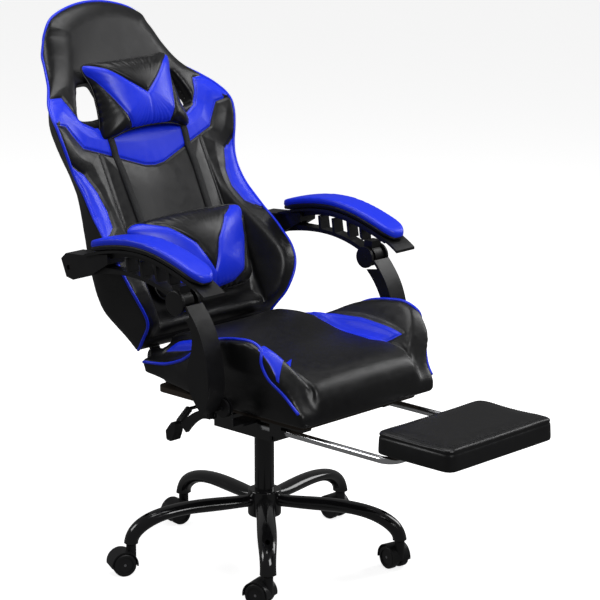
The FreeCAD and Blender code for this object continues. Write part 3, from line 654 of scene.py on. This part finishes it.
def see_through(side):
    """A cutter that widens the neck opening inwards towards the rear of the backrest."""
    corners = [(x, s, t) for x, s in mm([(146, 630), (176, 549), (117, 545)]) for t in (0.085, 0.028)]
    corners += [(0.176, 0.549, -0.075), (0.146, 0.630, -0.075)]
    corners += [(x - 0.060, s, -0.035) for x, s in mm([(141, 632), (120, 553)])]
    corners += [(x - 0.060, s, -0.075) for x, s in mm([(141, 632), (120, 553)])]
    work = bmesh.new()
    for x, s, t in corners:
        work.verts.new(on_back(side * x, s, t))
    made = bmesh.ops.convex_hull(work, input=work.verts)
    bmesh.ops.delete(work, geom=[v for v in made["geom_interior"] if isinstance(v, bmesh.types.BMVert)],
                     context="VERTS")
    mesh = bpy.data.meshes.new("cutter")
    work.to_mesh(mesh)
    work.free()
    obj = bpy.data.objects.new("cutter", mesh)
    bpy.context.scene.collection.objects.link(obj)
    outward(obj)
    return obj


def build_back():
    """The shell and both wings as one cover. Each point keeps its share of the depth between rear and front
    while both faces are reshaped: crowned inside the piping, flared where the piping stands further out."""
    parts = [copy_of_node("part", n) for n in ("back_pad", "back_wing_left", "back_wing_right")]
    back = united("backrest_upholstery", parts)
    soften(back, voxel=0.005, rounds=6)
    for side in (1, -1):
        cutter = see_through(side)
        modify(back, "BOOLEAN", object=cutter, operation="DIFFERENCE", solver="EXACT")
        apply_modifiers(back)
        bpy.data.objects.remove(cutter)
    soften(back, voxel=0.005, rounds=6)
    refine(back)
    skin = surface_of(back)
    x, s, t = to_back(coords(back))
    edge = signed_distance(x, s, OUTLINE)
    inward = np.stack([-x, np.clip(s, 0.10, 0.62) - s], 1)
    inward /= np.maximum(np.linalg.norm(inward, axis=1, keepdims=True), 1e-6)
    inset = np.maximum(0.013 - edge, 0)
    front, rear = depths_at(skin, x + inward[:, 0] * inset, s + inward[:, 1] * inset)
    front, rear = np.where(np.isnan(front), t, front), np.where(np.isnan(rear), t, rear)
    share = np.clip((t - rear) / np.maximum(front - rear, 0.002), 0, 1)
    pipe = PIPING_DEPTH(s)
    near = np.clip(edge / DOME(s), 0, 1)
    dome = np.sqrt(1 - (1 - near) ** 2)
    flare = 1 - smoothstep(edge / 0.080)
    shaped = np.where(pipe > front, front + (pipe - front) * flare, pipe + (front - pipe) * dome)
    dish = np.exp(-(x / 0.13) ** 2) * smoothstep((s - 0.12) / 0.15) * (1 - smoothstep((s - 0.62) / 0.1))
    shaped = shaped - 0.006 * dish
    draw = np.sqrt(1 - (1 - np.clip(edge / 0.030, 0, 1)) ** 2)
    behind = np.minimum(rear + 0.014 * (1 - draw), shaped - 0.004)
    t = behind + share * (shaped - behind)
    x = x - np.sign(x) * REAR_DRAW(s) * (1 - share) * (1 - smoothstep(edge / 0.09))
    set_coords(back, on_back(x, s, t))
    normal = normals(back)
    facing = np.clip(normal @ BACK_OUT, 0, 1)
    seam = nearest_line(x, s, BACK_SEAMS)
    crown = 0.004 * (1 - np.exp(-(np.minimum(seam, np.maximum(edge, 0)) / 0.035) ** 2))
    groove = 0.0034 * np.exp(-(seam / 0.0035) ** 2) + 0.0012 * np.exp(-(seam / 0.012) ** 2)
    rear_seam = np.exp(-((edge - 0.034) / 0.005) ** 2) * np.clip(-(normal @ BACK_OUT), 0, 1)
    set_coords(back, coords(back) + normal * (facing * (crown - groove) - 0.003 * rear_seam)[:, None])
    x, s, t = to_back(coords(back))
    zone = blue_zone(x, s, BLUE_ON_BACK)
    past = t - PIPING_DEPTH(s) + 0.003
    zone = np.where(edge < 0.022, np.minimum(zone, past), zone)
    zone = np.where(t < -0.004, -0.01, zone)
    set_attribute(back, "blue", zone)
    return dress(back, "back", TWO_TONE, "black_leather", "back_pad", "back_wing_left", "back_wing_right",
                 fill=0.85)


backrest = build_back()
back_skin = surface_of(backrest)
rim = on_back(OUTLINE[:, 0], OUTLINE[:, 1], PIPING_DEPTH(OUTLINE[:, 1]))
piping_path = relaxed(laid_on(back_skin, even(rim, 0.006), 0.0012), 3)
dress(tube("back_piping", piping_path, PIPING_RADIUS), "back", BLUE_LEATHER, "blue_leather")


def stitched_on_back(name, path, side, offset, thread):
    pts = np.array(path, float)
    run = np.gradient(pts, axis=0)
    run /= np.linalg.norm(run, axis=1, keepdims=True)
    pts = pts + np.stack([-run[:, 1], run[:, 0]], 1) * offset
    points = on_back(pts[:, 0] * side, pts[:, 1], np.full(len(pts), 0.16))
    hits = cast_onto(back_skin, even(points, STITCH_STEP), -BACK_OUT, 0.35)
    dress(stitches(name, hits, back_skin), "back", thread, "black_leather")


for side, tag in ((1, "left"), (-1, "right")):
    stitched_on_back(f"stitch_band_top_{tag}", BAND_TOP[2:-2], side, 0.005, BLUE_THREAD)
    stitched_on_back(f"stitch_band_low_{tag}", BAND_LOW[:-2], side, 0.005, BLUE_THREAD)
    stitched_on_back(f"stitch_bolster_{tag}", BOLSTER_SEAM, side, 0.006, BLACK_THREAD)


# ---- pillows ----------------------------------------------------------------
def stuffed(name, outline, middle, front_at, rear_at, edge_at, rings=26, around=180):
    """A closed crowned pillow whose edge seam follows outline, in (x, s), bulging to both sides of it."""
    loop = rounded_outline(mm(outline), 12)
    length = np.concatenate([[0], np.cumsum(np.linalg.norm(np.diff(np.vstack([loop, loop[:1]]), axis=0),
                                                            axis=1))])
    at = np.linspace(0, length[-1], around + 1)[:-1]
    closed = np.vstack([loop, loop[:1]])
    loop = np.stack([np.interp(at, length, closed[:, 0]), np.interp(at, length, closed[:, 1])], 1)
    centre = np.array(middle) / 1000.0
    verts, faces = [], []
    for face in (1, -1):
        for ring in range(rings):
            share = 1 - (ring / rings) ** 1.15
            spots = centre + (loop - centre) * share
            swell = math.sqrt(max(1 - share ** 2.6, 0.0))
            depth = np.array([edge_at(*p) for p in spots])
            goal = np.array([(front_at if face > 0 else rear_at)(*p) for p in spots])
            depth = depth + (goal - depth) * swell
            verts += list(on_back(spots[:, 0], spots[:, 1], depth))
        goal = (front_at if face > 0 else rear_at)(*centre)
        verts.append(on_back(centre[0], centre[1], goal))
    half = rings * around + 1
    for face in (0, 1):
        for ring in range(rings - 1):
            for k in range(around):
                m = (k + 1) % around
                a = face * half + ring * around
                faces.append((a + k, a + m, a + around + m, a + around + k))
        tip = face * half + rings * around
        for k in range(around):
            a = face * half + (rings - 1) * around
            faces.append((a + k, a + (k + 1) % around, tip))
    obj = make_object(name, verts, faces)
    return obj, loop


def gathered(obj, loop, amount=0.0005, count=46):
    """Small puckers running in from the edge seam."""
    x, s, _ = to_back(coords(obj))
    away = distance_to_line(x, s, loop, closed=True)
    turn = np.arctan2(s - loop[:, 1].mean(), x)
    wave = np.sin(turn * count) + 0.6 * np.sin(turn * count * 0.57 + 1.3)
    set_coords(obj, coords(obj) + normals(obj) * (amount * wave * np.exp(-away / 0.016))[:, None])


HEAD_OUTLINE = [(-127, 668), (-66, 664), (0, 663), (66, 664), (127, 668), (118, 612), (122, 550), (131, 495),
                (70, 503), (0, 507), (-70, 503), (-131, 495), (-122, 550), (-118, 612)]
HEAD_V = mm([(0, 577), (43, 609), (86, 646), (133, 674), (130, 654), (109, 616), (91, 577), (75, 541),
             (58, 506), (0, 506)])
LUMBAR_OUTLINE = [(-172, 284), (-88, 293), (0, 295), (88, 293), (172, 284), (167, 226), (150, 165),
                  (134, 116), (60, 106), (0, 105), (-60, 106), (-134, 116), (-150, 165), (-167, 226)]
LUMBAR_V = mm([(0, 147), (35, 215), (88, 267), (136, 290), (182, 300), (180, 272), (156, 252), (142, 206),
               (97, 134), (62, 114), (0, 108)])


def pillow_piece(name, outline, middle, zone, node, edge_depth, crest, flat, fill):
    """A stuffed pillow with its blue zone, the groove round that zone, a welt and four rows of stitches."""
    obj, loop = stuffed(name, outline, middle, lambda x, s: crest - 0.9 * x * x, lambda x, s: flat,
                        lambda x, s: edge_depth(abs(x)))
    x, s, _ = to_back(coords(obj))
    rim = distance_to_line(x, s, loop, closed=True) < 0.003
    puff(obj, pressure=3.0, cap=0.006, still=rim)
    refine(obj)
    gathered(obj, loop)
    x, s, _ = to_back(coords(obj))
    whole = mirrored_zone(zone)
    facing = np.clip(normals(obj) @ BACK_OUT + 0.1, 0, 1)
    seam = distance_to_line(x, s, whole)
    groove = 0.003 * np.exp(-(seam / 0.0032) ** 2) + 0.0016 * np.exp(-(seam / 0.009) ** 2)
    middle_line = np.exp(-(x / 0.003) ** 2) * smoothstep((zone[0][1] - s) / 0.01)
    groove = groove + 0.0012 * middle_line
    set_coords(obj, coords(obj) - normals(obj) * (facing * groove)[:, None])
    blue = signed_distance(x, s, whole)
    set_attribute(obj, "blue", np.where(facing > 0.02, blue, -0.01))
    dress(obj, "back", TWO_TONE, "blue_leather", node, fill=fill)
    skin = surface_of(obj)
    rim_depth = np.array([edge_depth(abs(a)) for a in loop[:, 0]])
    rim_path = laid_on(skin, on_back(loop[:, 0], loop[:, 1], rim_depth), 0.0006)
    piping = tube(name + "_welt", relaxed(rim_path, 2, closed=True), WELT_RADIUS, closed=True)
    dress(piping, "back", BLACK_LEATHER, "black_leather")
    inner = np.array(zone)
    for side, tag in ((1, "left"), (-1, "right")):
        for rows, part in ((inner[:4], "top"), (inner[5:-1], "low")):
            offset = 0.005 if part == "top" else -0.005
            above = on_back(rows[:, 0] * side, rows[:, 1] + offset, np.full(len(rows), 0.18))
            hits = cast_onto(skin, even(above, STITCH_STEP), -BACK_OUT, 0.4)
            thread = stitches(f"{name}_stitch_{part}_{tag}", hits, skin)
            dress(thread, "back", BLACK_THREAD, "black_leather")


head_edge = line([(0.0, 0.046), (0.07, 0.043), (0.125, 0.024)])
lumbar_edge = line([(0.0, 0.066), (0.09, 0.064), (0.171, 0.058)])
pillow_piece("head_pillow_cover", HEAD_OUTLINE, (0, 585), HEAD_V, "head_pillow", head_edge, 0.077, 0.028, 0.9)
pillow_piece("lumbar_pillow_cover", LUMBAR_OUTLINE, (0, 200), LUMBAR_V, "lumbar_pillow", lumbar_edge,
             0.118, 0.034, 0.9)

for side, tag in ((1, "left"), (-1, "right")):
    hang = on_back(side * np.linspace(0.112, 0.104, 60), np.linspace(0.530, 0.268, 60), np.full(60, 0.16))
    path = cast_onto(back_skin, hang, -BACK_OUT, 0.35) + BACK_OUT * STRAP_LIFT
    strap = ribbon(f"pillow_strap_{tag}", relaxed(path, 4), STRAP_WIDTH, STRAP_THICKNESS, (1.0, 0.0, 0.0))
    dress(strap, "back", WEBBING, "black_leather")


# ---- seat -------------------------------------------------------------------
BLADE = mm([(176, 128), (164, 100), (161, 0), (140, -188), (178, -246), (184, -120), (180, -20)])
BLADE_FRONT = mm([(246, -226), (170, -212), (98, -180), (150, -226), (236, -276)])
REAR_RISE, REAR_SHIFT, UNDERSIDE_LIFT = 0.030, 0.020, 0.022
CUSHION_EDGE = mm([(162, 118), (158, 0), (156, -120), (158, -300)])
SEAT_PIPING = mm([(172, 466), (110, 478), (60, 490), (9, 506), (-40, 534), (-90, 562), (-145, 576),
                  (-195, 577), (-225, 560), (-255, 508), (-285, 470), (-322, 446)])


def build_seat():
    """Cushion and bolsters as one cover: raised towards the rear, puffed, then seamed and coloured."""
    parts = [copy_of_node("part", n) for n in ("seat_cushion", "seat_bolster_left", "seat_bolster_right")]
    seat = united("seat_upholstery", parts)
    soften(seat, voxel=0.006, rounds=5)
    co = coords(seat)
    x, y, z = np.abs(co[:, 0]), co[:, 1], co[:, 2]
    low_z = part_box("seat_cushion")[0][2]
    share = np.clip((z - low_z) / 0.09, 0, 1)
    middle = 1 - smoothstep((x - 0.166) / 0.022)
    rise = REAR_RISE * smoothstep((y + 0.12) / 0.20) * middle * share
    back = REAR_SHIFT * smoothstep((y - 0.04) / 0.06) * middle
    lifted = UNDERSIDE_LIFT * smoothstep((y + 0.12) / 0.28) * np.clip(1 - (z - low_z) / 0.055, 0, 1)
    set_coords(seat, np.stack([co[:, 0], y + back, z + rise + lifted], 1))
    soften(seat, voxel=0.006, rounds=7)
    low = coords(seat)[:, 2] < low_z + 0.02
    puff(seat, pressure=3.0, cap=0.006, still=low, ease=40)
    refine(seat)
    co = coords(seat)
    normal = normals(seat)
    x, y, z = np.abs(co[:, 0]), co[:, 1], co[:, 2]
    up = np.clip(normal[:, 2] + 0.15, 0, 1)
    inner = x < 0.2
    edge = distance_to_line(x, y, CUSHION_EDGE)
    blade = distance_to_line(x, y, BLADE, closed=True)
    groove = 0.004 * np.exp(-(edge / 0.004) ** 2) * inner
    groove += 0.003 * np.exp(-(blade / 0.0035) ** 2)
    set_coords(seat, co - normal * (up * groove)[:, None])
    zone = np.maximum(signed_distance(x, y, BLADE), signed_distance(-co[:, 0], y, BLADE_FRONT))
    set_attribute(seat, "blue", np.where(up > 0.05, zone, -0.01))
    return dress(seat, "seat", TWO_TONE, "black_leather", "seat_cushion", "seat_bolster_left",
                 "seat_bolster_right", fill=0.85)


seat = build_seat()
seat_skin = surface_of(seat)


def seat_piping(side, tag):
    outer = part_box("seat_bolster_left")[1][0]
    points = []
    for y, z in smooth_path(SEAT_PIPING, 8):
        place, _, _, _ = seat_skin.find_nearest(Vector((side * (outer - 0.012), y, z)))
        points.append(np.array(place))
    path = relaxed(laid_on(seat_skin, even(relaxed(points, 2), 0.005), 0.001), 3)
    dress(tube(f"seat_piping_{tag}", path, PIPING_RADIUS), "seat", BLUE_LEATHER, "blue_leather")


def stitched_on_seat(name, path, side, thread):
    hits = cast_onto(seat_skin, even([(side * a, b, 0.7) for a, b in path], STITCH_STEP), (0, 0, -1), 0.5)
    dress(stitches(name, hits, seat_skin), "seat", thread, "black_leather")


for side, tag in ((1, "left"), (-1, "right")):
    seat_piping(side, tag)
    stitched_on_seat(f"stitch_blade_{tag}", [(a - 0.006, b) for a, b in BLADE[1:4]], side, BLACK_THREAD)


# ---- armrest pads and footrest pad ---------------------------------------------
ARM_TOP = line(mm([(-150, 708), (-115, 728), (-55, 750), (40, 768), (150, 758), (218, 740)]))


def build_arm_pad(tag):
    """The pad arched along ARM_TOP, with both ends drawn in and rounded, and a seam round its side."""
    node = f"arm_pad_{tag}"
    pad = copy_of_node(f"arm_pad_cover_{tag}", node)
    soften(pad, voxel=0.0035, rounds=5)
    co = coords(pad)
    centre = (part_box(node)[0][0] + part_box(node)[1][0]) / 2
    depth = ARM_TOP(co[:, 1]) - co[:, 2]
    y = co[:, 1]
    y = np.where(y < -0.09, -0.09 + (y + 0.09) * 0.72, y)
    y = np.where(y > 0.17, 0.17 + (y - 0.17) * 0.85, y)
    reach = np.clip(np.maximum((-y - 0.095) / 0.040, (y - 0.170) / 0.048), 0, 0.97)
    x = centre + (co[:, 0] - centre) * np.sqrt(1 - reach ** 2.2)
    co = np.stack([x, y, ARM_TOP(y) - depth * (1 - 0.25 * reach ** 2)], 1)
    set_coords(pad, co)
    soften(pad, voxel=0.0035, rounds=4)
    co = coords(pad)
    low = co[:, 2] < ARM_TOP(co[:, 1]) - 0.019
    puff(pad, pressure=3.0, cap=0.003, still=low, ease=20)
    refine(pad)
    co = coords(pad)
    height = co[:, 2] - (ARM_TOP(co[:, 1]) - 0.0145)
    seam = np.exp(-(height / 0.0022) ** 2)
    set_coords(pad, co - normals(pad) * (0.0016 * seam)[:, None])
    set_attribute(pad, "blue", height)
    return dress(pad, f"arm_{tag}", TWO_TONE, "blue_leather", node, fill=0.9)


build_arm_pad("left")
build_arm_pad("right")

def build_footrest():
    low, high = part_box("footrest_pad")
    pad = copy_of_node("footrest_cover", "footrest_pad")
    soften(pad, voxel=0.004, rounds=6)
    puff(pad, pressure=3.5, cap=0.005, still=coords(pad)[:, 2] < low[2] + 0.012, ease=40)
    refine(pad)
    co = coords(pad)
    upright = np.abs(normals(pad)[:, 2]) < 0.6
    side_seam = np.exp(-((co[:, 2] - high[2] + 0.009) / 0.0022) ** 2) * upright
    set_coords(pad, co - normals(pad) * (0.0018 * side_seam)[:, None])
    return dress(pad, "footrest_rest", BLACK_LEATHER, "black_leather", "footrest_pad", fill=0.8)


def stitched_round_footrest(name, skin, inset):
    """A round-cornered loop of stitches on the pad's top, set in from its sides."""
    (x0, y0, _), (x1, y1, top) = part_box("footrest_pad")
    x0, x1, y0, y1 = x0 + inset, x1 - inset, y0 + inset, y1 - inset
    r = FOOTREST_STITCH_CORNER
    corners = ((x1 - r, y1 - r, 0), (x0 + r, y1 - r, 90), (x0 + r, y0 + r, 180), (x1 - r, y0 + r, 270))
    loop = []
    for cx, cy, first in corners:
        for a in range(first, first + 91, 10):
            loop.append((cx + r * math.cos(math.radians(a)), cy + r * math.sin(math.radians(a)), top + 0.1))
    loop.append(loop[0])
    hits = cast_onto(skin, even(loop, STITCH_STEP), (0, 0, -1), 0.3)
    dress(stitches(name, hits, skin), "footrest_rest", GREY_THREAD, "black_leather")


footrest_skin = surface_of(build_footrest())
stitched_round_footrest("stitch_footrest_outer", footrest_skin, 0.010)
stitched_round_footrest("stitch_footrest_inner", footrest_skin, 0.016)


# ---- floor, light and camera --------------------------------------------------
bpy.ops.mesh.primitive_plane_add(size=60.0, location=(0, 0, 0))
floor = bpy.context.active_object
floor.name = "floor"
floor.data.materials.append(plain("pale_floor", (0.9, 0.9, 0.9, 1), 0.6, 0.05, grain=40.0, strength=0.02))
floor_shader = floor.data.materials[0].node_tree.nodes["Principled BSDF"]
floor_shader.inputs["Emission Color"].default_value = (1.0, 1.0, 1.0, 1)
floor_shader.inputs["Emission Strength"].default_value = 0.80
floor.visible_glossy = False
floor.visible_diffuse = False

world = bpy.data.worlds.new("studio")
bpy.context.scene.world = world
world.use_nodes = True
backdrop = world.node_tree.nodes["Background"]
backdrop.inputs["Color"].default_value = (1.0, 1.0, 1.0, 1)
seen = world.node_tree.nodes.new("ShaderNodeLightPath").outputs["Is Camera Ray"]
world.node_tree.links.new(ramp(world.node_tree, seen, 0.11, 1.0), backdrop.inputs["Strength"])


def area_light(name, place, target, size, power):
    light = bpy.data.lights.new(name, "AREA")
    light.shape = "RECTANGLE"
    light.size, light.size_y = size
    light.energy = power
    obj = bpy.data.objects.new(name, light)
    bpy.context.scene.collection.objects.link(obj)
    obj.location = place
    obj.rotation_euler = (Vector(target) - Vector(place)).to_track_quat("-Z", "Y").to_euler()
    return obj


area_light("key", (-0.6, -3.2, 2.9), (0.0, -0.1, 0.7), (1.6, 1.6), 52)
area_light("side", (3.0, -0.8, 2.2), (0.0, 0.0, 0.7), (1.2, 2.2), 34)
area_light("rim", (-2.6, 2.4, 2.6), (0.0, 0.1, 0.8), (1.4, 1.4), 30)
area_light("top", (0.2, 0.3, 3.6), (0.0, 0.0, 0.5), (2.2, 2.2), 46)

AZIMUTH, ELEVATION = math.radians(-46.04), math.radians(14.12)
AIM = Vector((0.0549, -0.0569, 0.591))
DISTANCE, LENS = 5.562, 152.94
toward = Vector((math.sin(AZIMUTH) * math.cos(ELEVATION), -math.cos(AZIMUTH) * math.cos(ELEVATION),
                 math.sin(ELEVATION)))
camera_data = bpy.data.cameras.new("camera")
camera_data.lens = LENS
camera_data.sensor_width = 36.0
camera_data.clip_end = 100.0
camera = bpy.data.objects.new("camera", camera_data)
bpy.context.scene.collection.objects.link(camera)
camera.location = AIM + toward * DISTANCE
camera.rotation_euler = (-toward).to_track_quat("-Z", "Y").to_euler()
bpy.context.scene.camera = camera
bpy.context.scene.view_settings.view_transform = "Standard"
